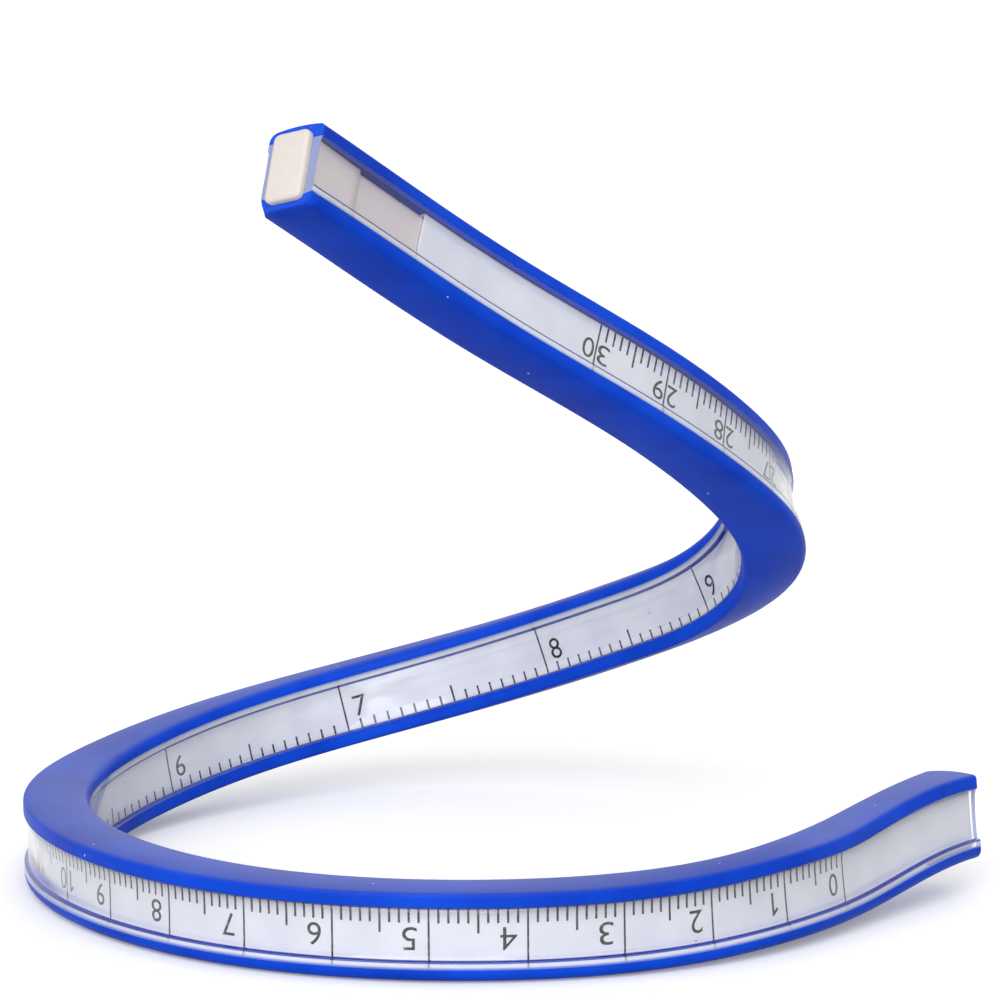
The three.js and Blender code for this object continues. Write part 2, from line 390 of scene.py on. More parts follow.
# %% Blue vinyl: sawn ends
# Crumbs of 0.4 mm.
at_cut = at_sawn_end(tree, (cut, "X"), begins=0.35, full=0.05)
crumbs = add(tree, "ShaderNodeTexNoise", {"Scale": 2.5, "Detail": 4, "Roughness": 0.7},
             {"Vector": (straight, "Vector")})
torn = add(tree, "ShaderNodeValToRGB", {"stops": ((0.58, "#1C50DA"), (0.85, "#7C9CF0"))},
           {"Fac": (crumbs, "Fac")})
ended = add(tree, "ShaderNodeMix", {"data_type": "RGBA"},
            {0: (at_cut, "Result"), 6: (with_painted_sheen, 2), 7: (torn, "Color")})
tree.links.new(ended.outputs[2], shader.inputs["Base Color"])
print("blue vinyl:", len(tree.nodes), "nodes")

# %% [markdown]
# ## Clear vinyl
# The windows are the same soft PVC without pigment, from the second stream of the die. Glass
# would be too clean: the real wall has shallow waves from the die and a haze where it was
# sawn. The shader refracts, a soft bump makes the waves, and the haze comes from roughness.

# %% Clear vinyl: the wavy wall
# Extruded soft PVC, clear. Waves 7 mm long and just over 1 mm wide.
clear_vinyl, tree, shader = material("extruded_clear_vinyl", {
    "IOR": 1.53, "Specular IOR Level": 0.08,
})
straight = add(tree, "ShaderNodeAttribute", {"attribute_name": "straight"})
drawn_out = add(tree, "ShaderNodeMapping", {"Scale": (0.15, 0.8, 0.8)},
                {"Vector": (straight, "Vector")})
waves = add(tree, "ShaderNodeTexNoise", {"Scale": 1, "Detail": 3},
            {"Vector": (drawn_out, "Vector")})
bump = add(tree, "ShaderNodeBump", {"Strength": 0.2, "Distance": 0.00003},
           {"Height": (waves, "Fac")})
tree.links.new(bump.outputs["Normal"], shader.inputs["Normal"])
cut = add(tree, "ShaderNodeSeparateXYZ", None, {"Vector": (straight, "Vector")})
sawn = at_sawn_end(tree, (cut, "X"), begins=0.1, full=0.02)
rough = add(tree, "ShaderNodeMapRange", {"To Min": 0.07, "To Max": 0.6},
            {"Value": (sawn, "Result")})
tree.links.new(rough.outputs["Result"], shader.inputs["Roughness"])
print("clear vinyl wall:", len(tree.nodes), "nodes")

# %% [markdown]
# ### Where the lip is
# The lip is the part of the clear stream beside the other rail. On the centimetre face it
# lies low and on the inch face high, so left times up is below zero on both lips. The inside
# of the wall is left out, because colour there would tint the print.

# %% Clear vinyl: lip mask
OUTSIDE = CAVITY_SIDE + 0.5

lipward = add(tree, "ShaderNodeMath", {"operation": "MULTIPLY"}, {0: (cut, "Y"), 1: (cut, "Z")})
lip_side = add(tree, "ShaderNodeMath", {"operation": "LESS_THAN", 1: 0},
               {0: (lipward, "Value")})
depth = add(tree, "ShaderNodeMath", {"operation": "ABSOLUTE"}, {0: (cut, "Y")})
outside = add(tree, "ShaderNodeMath", {"operation": "GREATER_THAN", 1: OUTSIDE},
              {0: (depth, "Value")})
on_lip = add(tree, "ShaderNodeMath", {"operation": "MULTIPLY"},
             {0: (lip_side, "Value"), 1: (outside, "Value")})
print("lip begins at", round(LIP_TOP, 2), "mm from the middle")

# %% [markdown]
# ### The lip's bands of colour
# Across the real lip there are a thin blue line on the ledge, a bright band, and blue that
# bleeds in from the rail. All of it is light caught inside the plastic, which would need far
# more samples than a render gets, so a ramp over the height paints the bands. A ramp runs
# from nought to one, so heights are divided by the ruler's.

# %% Clear vinyl: lip bands
CLEAR = "#FBFBFE"
LINE_BLUE = "#1B38A0"
BRIGHT = "#F8F9FB"
lip_bands = (
    (LIP_TOP - LIP_LEDGE - 0.03, CLEAR), (LIP_TOP - LIP_LEDGE, LINE_BLUE),
    (LIP_TOP + 0.15, LINE_BLUE), (LIP_TOP + 0.19, BRIGHT), (LIP_JOINT - 0.3, BRIGHT),
    (LIP_JOINT - 0.1, "#B4CCF6"), (LIP_JOINT, "#5C8CEE"),
)
height = add(tree, "ShaderNodeMath", {"operation": "ABSOLUTE"}, {0: (cut, "Z")})
share = add(tree, "ShaderNodeMath", {"operation": "DIVIDE", 1: HEIGHT}, {0: (height, "Value")})
# Painted light in the lip: a dark blue line on the ledge, a bright band, and blue from the
# rail.
painted_lip_light = add(tree, "ShaderNodeValToRGB",
            {"stops": [(position / HEIGHT, colour) for position, colour in lip_bands]},
            {"Fac": (share, "Value")})
body = add(tree, "ShaderNodeMix", {"data_type": "RGBA", 6: linear(CLEAR)},
           {0: (on_lip, "Value"), 7: (painted_lip_light, "Color")})
tinted = add(tree, "ShaderNodeMix", {"data_type": "RGBA", 7: linear("#A9B6E2")},
             {0: (sawn, "Result"), 6: (body, 2)})
tree.links.new(tinted.outputs[2], shader.inputs["Base Color"])
print("bands on the lip:", len(lip_bands))

# %% [markdown]
# ### Milky places
# The lip is rubbed by every edge the ruler is laid against, and the ends are sawn. Both look
# milky. Less of the light passes through there, and the rest is scattered as by white wax.

# %% Clear vinyl: milky lip and ends
lip_rub = add(tree, "ShaderNodeMapRange",
              {"From Min": LIP_TOP, "From Max": LIP_TOP + 0.1, "To Max": 0.5},
              {"Value": (height, "Value")})
rubbed = add(tree, "ShaderNodeMath", {"operation": "MULTIPLY"},
             {0: (lip_rub, "Result"), 1: (on_lip, "Value")})
milky = add(tree, "ShaderNodeMath", {"operation": "MAXIMUM"},
            {0: (sawn, "Result"), 1: (rubbed, "Value")})
clear = add(tree, "ShaderNodeMapRange", {"To Min": 1.0, "To Max": 0.35},
            {"Value": (milky, "Value")})
tree.links.new(clear.outputs["Result"], shader.inputs["Transmission Weight"])
print("milky places added:", len(tree.nodes), "nodes")

# %% [markdown]
# ### Light on the print
# A path tracer finds little light behind a refracting wall, and the print would come out dark
# and grainy. In the real ruler it is evenly lit. Shadow rays and diffuse rays therefore go
# straight through, and only what the camera follows is bent.

# %% Clear vinyl: light passes
way = add(tree, "ShaderNodeLightPath")
passes = add(tree, "ShaderNodeMath", {"operation": "MAXIMUM"},
             {0: (way, "Is Shadow Ray"), 1: (way, "Is Diffuse Ray")})
through = add(tree, "ShaderNodeBsdfTransparent", {"Color": linear("#FAFAFC")})
both = add(tree, "ShaderNodeMixShader", None,
           {0: (passes, "Value"), 1: (shader, "BSDF"), 2: (through, "BSDF")})
tree.links.new(both.outputs["Shader"], tree.nodes["Material Output"].inputs["Surface"])
print("clear vinyl:", len(tree.nodes), "nodes")

# %% [markdown]
# ## Where two clear pieces meet
# The real window is one piece. Here it is made in lengths, and each has to be a closed shape
# with a cap at each end. A refracting cap would show as a line, so caps inside the ruler get
# a finish that can't be seen.

# %% Joint in the clear vinyl
# The same clear PVC, inside one piece: nothing is to be seen.
clear_joint, tree, shader = material("clear_vinyl_joint", {})
through = add(tree, "ShaderNodeBsdfTransparent")
tree.links.new(through.outputs["BSDF"], tree.nodes["Material Output"].inputs["Surface"])
print("clear joint:", len(tree.nodes), "nodes")

# %% [markdown]
# ## White strip
# The scales are printed on a thin white sheet inside the windows. In the photo it is matt and
# not quite even, with a few dark specks from the printing press. A slow noise makes the
# clouds, and the specks are the pattern from before.

# %% White strip
# Polypropylene sheet: matt. Clouds of 4 mm. Cells of 3 mm, four in ten with a speck of a fifth
# of a millimetre.
white_strip, tree, shader = material("printed_polypropylene_strip", {"Roughness": 0.5})
straight = add(tree, "ShaderNodeAttribute", {"attribute_name": "straight"})
clouds = add(tree, "ShaderNodeTexNoise", {"Scale": 0.25, "Detail": 3},
             {"Vector": (straight, "Vector")})
shade = add(tree, "ShaderNodeValToRGB", {"stops": ((0.3, "#E4E7EA"), (0.7, "#F0F2F3"))},
            {"Fac": (clouds, "Fac")})
specked = speckled(tree, (straight, "Vector"), (shade, "Color"), cells=0.3, rim=(0.03, 0.02),
                   bare=0.6, colour="#3A3A40")
tree.links.new(specked.outputs[2], shader.inputs["Base Color"])
print("white strip:", len(tree.nodes), "nodes")

# %% [markdown]
# ## White plug
# The plugs are small mouldings, creamier than the strip, with a waxy surface and dirt in the
# pores. They never bend, so their pattern can sit on Object coordinates. Those are in metres,
# so here a pattern's scale is one over a size in metres.

# %% White plug
# Moulded polythene: waxy. Waxy waves of 1 mm. Cells of 2 mm, one in four with a speck of
# a quarter of a millimetre.
white_plug, tree, shader = material("moulded_polythene_plug", {"IOR": 1.5, "Roughness": 0.45})
place = add(tree, "ShaderNodeTexCoord")
waxy = add(tree, "ShaderNodeTexNoise", {"Scale": 900, "Detail": 3},
           {"Vector": (place, "Object")})
shade = add(tree, "ShaderNodeValToRGB", {"stops": ((0, "#DAD0CA"), (1, "#E4DBD6"))},
            {"Fac": (waxy, "Fac")})
specked = speckled(tree, (place, "Object"), (shade, "Color"), cells=450, rim=(0.07, 0.05),
                   bare=0.75, colour="#4A4440")
tree.links.new(specked.outputs[2], shader.inputs["Base Color"])
bump = add(tree, "ShaderNodeBump", {"Strength": 0.2, "Distance": 0.00005},
           {"Height": (waxy, "Fac")})
tree.links.new(bump.outputs["Normal"], shader.inputs["Normal"])
print("white plug:", len(tree.nodes), "nodes")

# %% [markdown]
# ## Ink
# The scale lines and numbers are printed in black. The ink lies thin in places and looks grey
# there, so that a line seems broken. An even black would look drawn by a computer. A fine
# noise thins the ink out where it passes a threshold.

# %% Ink
# Screen-printed ink: matt. Thin places of 0.3 mm.
ink, tree, shader = material("printed_black_ink", {
    "Roughness": 0.7, "Specular IOR Level": 0.1,
})
straight = add(tree, "ShaderNodeAttribute", {"attribute_name": "straight"})
coverage = add(tree, "ShaderNodeTexNoise", {"Scale": 3.5, "Detail": 3, "Roughness": 0.7},
               {"Vector": (straight, "Vector")})
shade = add(tree, "ShaderNodeValToRGB", {"stops": ((0.55, "#06060A"), (0.75, "#A8A9B0"))},
            {"Fac": (coverage, "Fac")})
tree.links.new(shade.outputs["Color"], shader.inputs["Base Color"])
print("ink:", len(tree.nodes), "nodes")

# %% [markdown]
# ## Lead
# The bar inside keeps the bend. It shows only where the ruler is cut open or drawn apart. Cast
# lead dulls within days, so its roughness is high for a metal, and it varies with the skin.

# %% Lead
# Cast lead: a dull grey metal. Grain of two thirds of a millimetre.
lead, tree, shader = material("cast_lead", {"Metallic": 1.0})
straight = add(tree, "ShaderNodeAttribute", {"attribute_name": "straight"})
skin = add(tree, "ShaderNodeTexNoise", {"Scale": 1.5, "Detail": 4},
           {"Vector": (straight, "Vector")})
shade = add(tree, "ShaderNodeValToRGB", {"stops": ((0, "#5C5E64"), (1, "#7C7F86"))},
            {"Fac": (skin, "Fac")})
tree.links.new(shade.outputs["Color"], shader.inputs["Base Color"])
dull = add(tree, "ShaderNodeMapRange", {"To Min": 0.5, "To Max": 0.75},
           {"Value": (skin, "Fac")})
tree.links.new(dull.outputs["Result"], shader.inputs["Roughness"])
print("lead:", len(tree.nodes), "nodes")

# %% [markdown]
# ## A straight strip
# Every long piece is a section pulled out, as in the real die. The section starts as one flat
# face, its corners are bevelled while they are still corners of a flat face, and the face is
# extruded step by step. The steps leave cuts across the piece, and these let it follow the
# bend. They lie closer together at the far end, where the shape changes fast.

# %% Straight strip
RING_STEP = 1.0
FAR_END_RINGS = (1.4, 1.2, 0.8, 0.6, 0.4, 0.25, 0.12, 0.04)


def ring_of(bm, outline, station):
    """The outline of a section as a closed ring of edges."""
    corners = [bm.verts.new((station, left, up)) for left, up in outline]
    edges = [bm.edges.new(pair) for pair in zip(corners, corners[1:] + corners[:1])]
    return corners, edges


def strip(outline, start, end, rounds=(), hole=None):
    """Straight solid of a section. rounds gives (corner number, radius, segments)."""
    bm = bmesh.new()
    corners, edges = ring_of(bm, outline, start)
    if hole:
        bmesh.ops.bridge_loops(bm, edges=edges + ring_of(bm, hole, start)[1])
    else:
        bmesh.ops.contextual_create(bm, geom=edges)
    for corner, radius, segments in rounds:
        bmesh.ops.bevel(
            bm, geom=[corners[corner]], offset=radius, offset_type="OFFSET",
            segments=segments, profile=0.5, affect="VERTICES", material=-1,
        )
    rings = list(np.linspace(start, end, round((end - start) / RING_STEP) + 1))
    if end == LENGTH:
        rings += [LENGTH - inward for inward in FAR_END_RINGS]
    rings.sort()
    front = bm.faces[:] + bm.edges[:] + bm.verts[:]
    for here, ahead in zip(rings, rings[1:]):
        front = bmesh.ops.extrude_face_region(bm, geom=front)["geom"]
        verts = [item for item in front if isinstance(item, bmesh.types.BMVert)]
        bmesh.ops.translate(bm, verts=verts, vec=(ahead - here, 0, 0))
    return bm


print("a cut every", RING_STEP, "mm")

# %% [markdown]
# ## The far end, pushed out and worn
# The plug of the far end is a tight fit, and the clear walls bulge over it. The end's lower
# corners are worn round. Both are small moves of vertices that fade out along the ruler.
# Sculpting would not repeat the same way on every run, and a formula does. The wear is a
# rounded box: the higher its power, the squarer it is, and it is square where the wear ends.

# %% Bulge and wear
INTO_RAIL = 0.05
BULGE_REACH = 5
BULGE = 0.6
WORN_REACH = 1.5
WORN_POWER = 5
WORN_DEPTH = 0.06


def worn(station, left, up):
    """The place in the section of a point, after the bulge and the wear of the far end."""
    bulge = min(max(1 - (LENGTH - station) / BULGE_REACH, 0), 1) * BULGE
    if bulge and abs(up) < TICK_JOINT and abs(left) > CAVITY_SIDE + INTO_RAIL:
        left += bulge * (FACE - abs(left)) * (1 if left > 0 else -1)
    near = min(max(1 - (LENGTH - station) / WORN_REACH, 0), 1)
    if near and up < 0:
        power = WORN_POWER / near
        size = ((abs(left) / FACE) ** power + (abs(up) / EDGE) ** power) ** (1 / power)
        draw_in = min(1, (1 + WORN_DEPTH * near * up / EDGE) / size)
        left, up = left * draw_in, up * draw_in
    return left, up


print("lower corner at the far end:", [round(x, 2) for x in worn(LENGTH, FACE, -EDGE)])

# %% [markdown]
# ## Laying a piece along the bend
# A Curve modifier could bend the straight piece, but it twists in its own way and hides the
# place that each point came from. Here every vertex looks up the frame at its station and
# moves there, and keeps its straight place as an attribute for the materials. Edges sharper
# than 35 degrees stay crisp, and all others are shaded smooth.

# %% Laid along the bend
SHARP = radians(35)
STATION_DIGITS = 4


def laid(bm, name, finish):
    """The finished object: every vertex moves from the straight ruler to the bent one."""
    places = {}
    straight = bm.verts.layers.float_vector.new("straight")
    for vert in bm.verts:
        station = round(vert.co.x, STATION_DIGITS)
        if station not in places:
            places[station] = frame_at(station)
        point, left, up = places[station]
        vert[straight] = vert.co
        aside, above = worn(*vert.co)
        vert.co = (point + left * aside + up * above) / MM_PER_METRE
    bmesh.ops.recalc_face_normals(bm, faces=bm.faces)
    if bm.calc_volume(signed=True) < 0:
        bmesh.ops.reverse_faces(bm, faces=bm.faces)
    mesh = bpy.data.meshes.new(name)
    bm.to_mesh(mesh)
    bm.free()
    mesh.shade_smooth()
    mesh.set_sharp_from_angle(angle=SHARP)
    mesh.materials.append(finish)
    piece = bpy.data.objects.new(name, mesh)
    bpy.context.scene.collection.objects.link(piece)
    return piece


print("ready to lay pieces")

# %% [markdown]
# ## Zones
# The frame is a chain of nine links with a joint between each two, and the real ruler is one
# unbroken strip over all of them. A soft piece can turn about one joint only, so the sheath
# is made in eight zones. Each runs from the middle of one link to the middle of the next.
# It keeps the names of its two links and two points on the middle line, a tenth of the way in
# from each of those middles.

# %% Zones
HOLD = 0.1
link_ends = (0, *BEND_POINTS, LENGTH)
link_middles = [(a + b) / 2 for a, b in zip(link_ends, link_ends[1:])]


class Zone:
    """A length of the ruler around one joint."""

    def __init__(self, number):
        self.number = number
        first, last = link_middles[number - 1], link_middles[number]
        hold = HOLD * (last - first)
        self.turn_from = frame_at(first + hold)[0] / MM_PER_METRE
        self.turn_to = frame_at(last - hold)[0] / MM_PER_METRE
        self.is_last = number == len(BEND_POINTS)
        self.start = 0 if number == 1 else first
        self.end = LENGTH if self.is_last else last
        self.links = [f"link_{number}", f"link_{number + 1}"]

    def nodes(self, kind):
        """The CAD lengths that this zone stands for. The last zone stands for two."""
        numbers = [self.number] + ([self.number + 1] if self.is_last else [])
        return [f"{kind}_{n}" for n in numbers]

    def place(self, piece, slot):
        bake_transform(piece)
        return piece


zones = [Zone(number) for number in range(1, len(BEND_POINTS) + 1)]
print("zones:", [(round(zone.start), round(zone.end)) for zone in zones])

# %% [markdown]
# ## The rail's outline
# A rail is a cap over the cavity, with a longer leg on the tick side and a short one on the
# lip side. Its top is crowned along a parabola, since an arc this shallow looks the same. The
# two drawing edges are rounded later by the strip's bevel, the lip side more than the tick
# side.

# %% Rail outline
CROWN_STEPS = (1, 0.7, 0.45, 0.2, -0.05, -0.3, -0.6, -1)
EDGE_SEGMENTS = 6

crown = [(FACE * side, EDGE - CROWN * side ** 2) for side in CROWN_STEPS]
upper_rail = [
    (FACE, TICK_JOINT), *crown, (-FACE, LIP_JOINT), (-CAVITY_SIDE, LIP_JOINT),
    (-CAVITY_SIDE, CAVITY_TOP), (CAVITY_SIDE, CAVITY_TOP), (CAVITY_SIDE, TICK_JOINT),
]
rail_rounds = (
    (1, TICK_EDGE_RADIUS, EDGE_SEGMENTS), (len(crown), LIP_EDGE_RADIUS, EDGE_SEGMENTS),
)
print("corners of the rail:", len(upper_rail))

# %% [markdown]
# ## The window's outline
# The clear wall lies back from the rails. It runs out to the tick-side rail in a quarter-round
# cove, and carries the lip at its other end. It reaches a little way into both rails, as fused
# plastic does, so that no gap shows. Three of its corners are rounded: the lip's edge, the
# ledge's foot and the very shallow bend in the middle of the pane.

# %% Window outline
COVE_ANGLES = (0, 15, 30, 45, 60, 75, 90)

cove = [
    (WINDOW_RECESS * cos(radians(a)) - FACE, WINDOW_COVE * (1 - sin(radians(a))) - TICK_JOINT)
    for a in COVE_ANGLES
]
pane_middle = (LIP_TOP - LIP_LEDGE + WINDOW_COVE - TICK_JOINT) / 2
inch_window = [
    (INTO_RAIL - CAVITY_SIDE, LIP_JOINT + INTO_RAIL), (INTO_RAIL - FACE, LIP_JOINT + INTO_RAIL),
    (-FACE, LIP_JOINT), (-FACE, LIP_TOP), (-PANE, LIP_TOP - LIP_LEDGE),
    (WINDOW_HOLLOW - PANE, pane_middle), *cove,
    (INTO_RAIL - FACE, -TICK_JOINT - INTO_RAIL), (-CAVITY_SIDE, -TICK_JOINT - INTO_RAIL),
    (-CAVITY_SIDE, LIP_JOINT),
]
window_rounds = ((3, 0.06, 4), (4, 0.05, 3), (5, 0.8, 4))
print("corners of the window:", len(inch_window))

# %% [markdown]
# ## The sheath
# Two rails and two windows make the sheath. The lower rail and the centimetre window are the
# same outlines after half a turn, so each is drawn once. The caps between two zones of clear
# vinyl get the finish that can't be seen.

# %% Rails and windows
END_CLEARANCE = 0.3
FACES_ALONG = 0.9


def half_turned(outline):
    return [(-left, -up) for left, up in outline]


for zone in zones:
    for kind, outline, rounds, finish, slot in (
        ("rail_upper", upper_rail, rail_rounds, blue_vinyl, "blue_vinyl"),
        ("rail_lower", half_turned(upper_rail), rail_rounds, blue_vinyl, "blue_vinyl"),
        ("window_inch", inch_window, window_rounds, clear_vinyl, "clear_vinyl"),
        ("window_cm", half_turned(inch_window), window_rounds, clear_vinyl, "clear_vinyl"),
    ):
        bm = strip(outline, zone.start, zone.end, rounds)
        inner_caps = [
            face for face in bm.faces
            if abs(face.normal.x) > FACES_ALONG
            and END_CLEARANCE < face.calc_center_median().x < LENGTH - END_CLEARANCE
        ]
        for face in inner_caps:
            face.material_index = 1
        piece = laid(bm, f"{kind}_zone_{zone.number}", finish)
        if finish is clear_vinyl:
            piece.data.materials.append(clear_joint)
        zone.place(piece, slot)
        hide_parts(*zone.nodes(kind))
print("sheath laid in", len(zones), "zones")

# %% [markdown]
# ## Sleeve and lead bar
# Inside the sheath runs the printed strip, folded round the lead bar as a sleeve. It is a
# hollow box, made by bridging two rings before the extrusion. The bar is a plain solid box,
# as cast lead is. Both stop just before the plugs, and the little gap shows in the window
# as a seam.

# %% Sleeve and lead bar
SLEEVE_CLEARANCE = 0.1
SLEEVE_WALL = 0.35
BAR_CLEARANCE = 0.1
FILL_SEAM = 0.06
ZERO_PLUG_HEAD = 4.5
ZERO_PLUG_SHANK = 5.5
FAR_PLUG_HEAD = 7.5
FAR_PLUG_SHANK = 9.5
fill_start = ZERO_PLUG_HEAD + ZERO_PLUG_SHANK + FILL_SEAM
fill_end = LENGTH - FAR_PLUG_HEAD - FAR_PLUG_SHANK - FILL_SEAM


def block(inset):
    """The cavity's outline, drawn in by an inset."""
    side, top = CAVITY_SIDE - inset, CAVITY_TOP - inset
    return [(side, -top), (side, top), (-side, top), (-side, -top)]


for zone in zones:
    start, end = max(zone.start, fill_start), min(zone.end, fill_end)
    bm = strip(block(SLEEVE_CLEARANCE), start, end, hole=block(SLEEVE_CLEARANCE + SLEEVE_WALL))
    piece = laid(bm, f"sleeve_zone_{zone.number}", white_strip)
    zone.place(piece, "white_sleeve")
    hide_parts(*zone.nodes("sleeve"))
    bm = strip(block(SLEEVE_CLEARANCE + SLEEVE_WALL + BAR_CLEARANCE), start, end)
    piece = laid(bm, f"lead_bar_zone_{zone.number}", lead)
    zone.place(piece, "lead_core")
    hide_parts(*zone.nodes("lead_bar"))
print(f"sleeve and bar from {fill_start:.2f} to {fill_end:.2f} mm")

# %% [markdown]
# ## The shape of a plug
# A plug is a small moulding: a slim shank deep in the cavity, a shoulder, a head that fills
# the cavity, and a flange and a proud face outside. It grows from the shank outward, one
# extrusion after another, and each may scale the new face. The last edge is bevelled, as the
# mould's was. The head ends a hair outside the sheath, so that no two faces lie in one plane.

# %% Plug shape
PLUG_CLEARANCE = 0.12
PLUG_CORNER = 0.6
PLUG_CHAMFER = 0.4
PLUG_CUTS = 8
# Each as (way ahead, part of the growth from shank to head): 0.35 mm of way in all, and with
# the head's cuts shortened by only 0.33 mm, 0.02 mm of the head is outside.
SHOULDER = ((0.08, 0.4), (0.1, 0.35), (0.17, 0.25))
SHOULDER_TAKES = 0.33
FLANGE_STEP = 0.01


def plug_shape(head, shank, proud, neck, flange, side_flange):
    """Straight plug, its shank first and its outer face last, with the sheath's end at zero."""
    bm = bmesh.new()
    corners, edges = ring_of(bm, block(PLUG_CLEARANCE + neck), -head - shank)
    bmesh.ops.contextual_create(bm, geom=edges)
    bmesh.ops.bevel(
        bm, geom=corners, offset=PLUG_CORNER, offset_type="OFFSET", segments=4, profile=0.5,
        affect="VERTICES", material=-1,
    )
    front = bm.faces[:] + bm.edges[:] + bm.verts[:]
    side, top = CAVITY_SIDE - PLUG_CLEARANCE, CAVITY_TOP - PLUG_CLEARANCE
    wider, taller = side / (side - neck) - 1, top / (top - neck) - 1
    steps = [(shank / PLUG_CUTS, 1, 1)] * PLUG_CUTS
    steps += [(ahead, 1 + wider * part, 1 + taller * part) for ahead, part in SHOULDER]
    steps += [((head - SHOULDER_TAKES) / PLUG_CUTS, 1, 1)] * PLUG_CUTS
    if flange:
        steps += [(FLANGE_STEP, 1 + side_flange / side, 1 + flange / CAVITY_TOP)]
    if proud:
        steps += [(proud, 1, 1)]
    for ahead, *growth in steps:
        front = bmesh.ops.extrude_face_region(bm, geom=front)["geom"]
        verts = [item for item in front if isinstance(item, bmesh.types.BMVert)]
        bmesh.ops.translate(bm, verts=verts, vec=(ahead, 0, 0))
        bmesh.ops.scale(bm, verts=verts, vec=(1, *growth))
    rim = [item for item in front if isinstance(item, bmesh.types.BMEdge)]
    bmesh.ops.bevel(
        bm, geom=rim, offset=PLUG_CHAMFER, offset_type="OFFSET", segments=3, profile=0.5,
        affect="EDGES", material=-1,
    )
    return bm


print("shoulder of the plug:", round(sum(ahead for ahead, part in SHOULDER), 2), "mm")

# %% [markdown]
# ## The two plugs
# The far plug is seen in the photo, through the window and from its end: a proud cream face
# that is a little larger than the cavity, and a head and shank with a step between them. Of
# the plug at the zero end only its white edge shows, level with the sheath, so it stays plain.

# %% Plugs
zero_plug = {
    "head": ZERO_PLUG_HEAD, "shank": ZERO_PLUG_SHANK, "proud": 0, "neck": 0, "flange": 0,
    "side_flange": 0,
}
far_plug = {
    "head": FAR_PLUG_HEAD, "shank": FAR_PLUG_SHANK, "proud": 0.8, "neck": 0.35,
    "flange": 0.45, "side_flange": 0.28,
}
for name, end, outward, shape, finish, body in (
    ("plug_zero_end", 0, -1, zero_plug, white_strip, "link_1"),
    ("plug_far_end", LENGTH, 1, far_plug, white_plug, "link_9"),
):
    bm = plug_shape(**shape)
    for vert in bm.verts:
        vert.co.x = end + outward * vert.co.x
    piece = laid(bm, f"{name}_moulded", finish)
    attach(piece, body)
    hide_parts(name)
    print(name, len(piece.data.polygons), "faces")

# %% [markdown]
# ## Where a printed mark sits
# The printed strip keeps its length when the ruler bends, and it lies to one side of the
# middle line. On the outside of a bend it spans less of the middle line than it measures, and
# on the inside more. So the distance run by the bent side is added up millimetre by
# millimetre, and a mark sits where that sum reaches its distance. How far to the side the
# print runs, and where both scales start, were fitted to the marks in the photo.

# %% Marks along the bend
SCALE_REACH = 2.7
CM_START = 25.4
INCH_START = 10.64
stations = np.arange(0, LENGTH + 1)
turns = np.array([bend_at(station + 0.5)[0] for station in stations])
run_left = np.concatenate([[0], np.cumsum(1 - SCALE_REACH * turns)[:-1]])
run_right = np.concatenate([[0], np.cumsum(1 + SCALE_REACH * turns)[:-1]])


def cm_station(distance):
    return float(np.interp(CM_START + distance, run_left, stations))


def inch_station(distance):
    return float(np.interp(INCH_START + distance, run_right, stations))


print(f"cm 0 at {cm_station(0):.1f} mm, inch 0 at {inch_station(0):.1f} mm")

# %% [markdown]
# ## Lines of ink
# A printed line has almost no height, but real geometry stays sharp at any distance where a
# painted pattern would blur. Each line is a thin box, drawn flat with the distance to the
# right and the height upward from the tick-side rail.

# %% Lines
INK_THICKNESS = 0.02
LINE_WIDTH = 0.2
TICK_WIDTH = 0.23


def ink_line(bm, distance, length, width=LINE_WIDTH):
    """A line of ink that stands on the rail. Returns its vertices."""
    box = bmesh.ops.create_cube(bm, size=1)["verts"]
    bmesh.ops.scale(bm, verts=box, vec=(width, length, INK_THICKNESS))
    bmesh.ops.translate(bm, verts=box, vec=(distance, length / 2, 0))
    return box


print("lines", LINE_WIDTH, "mm wide, ticks", TICK_WIDTH, "mm")

# %% [markdown]
# ## Figures
# The numbers are plain thin figures. Blender's own font comes close for all but the 1, which
# on the real print is a bare stem with a flag, and is drawn from two lines. The others are
# made a mesh at once, thinned, and stretched to the width and height measured on the print.
# The 4 is wider. A text's mesh has loose seams, so its doubles are merged.

# %% Figures
NUMBER_HEIGHT = 2.4
NUMBER_WIDTH = 1.5
WIDER_FIGURES = {"4": 1.7}
FIGURE_GAP = 0.5
STROKE = 0.28
THINNER = -0.004
CURVE_STEPS = 4
FLAG_LENGTH = 0.85
FLAG_TURN = radians(130)
DOUBLES = 1e-5


def drawn_one(bm):
    """The figure 1: a stem, and a flag that leans back from its top."""
    stem = ink_line(bm, 0, NUMBER_HEIGHT, STROKE)
    flag = ink_line(bm, 0, FLAG_LENGTH, STROKE)
    bmesh.ops.rotate(
        bm, verts=flag, cent=(0, 0, 0), matrix=Matrix.Rotation(FLAG_TURN, 3, "Z"),
    )
    bmesh.ops.translate(bm, verts=flag, vec=(0, NUMBER_HEIGHT - STROKE / 2, 0))
    return stem + flag


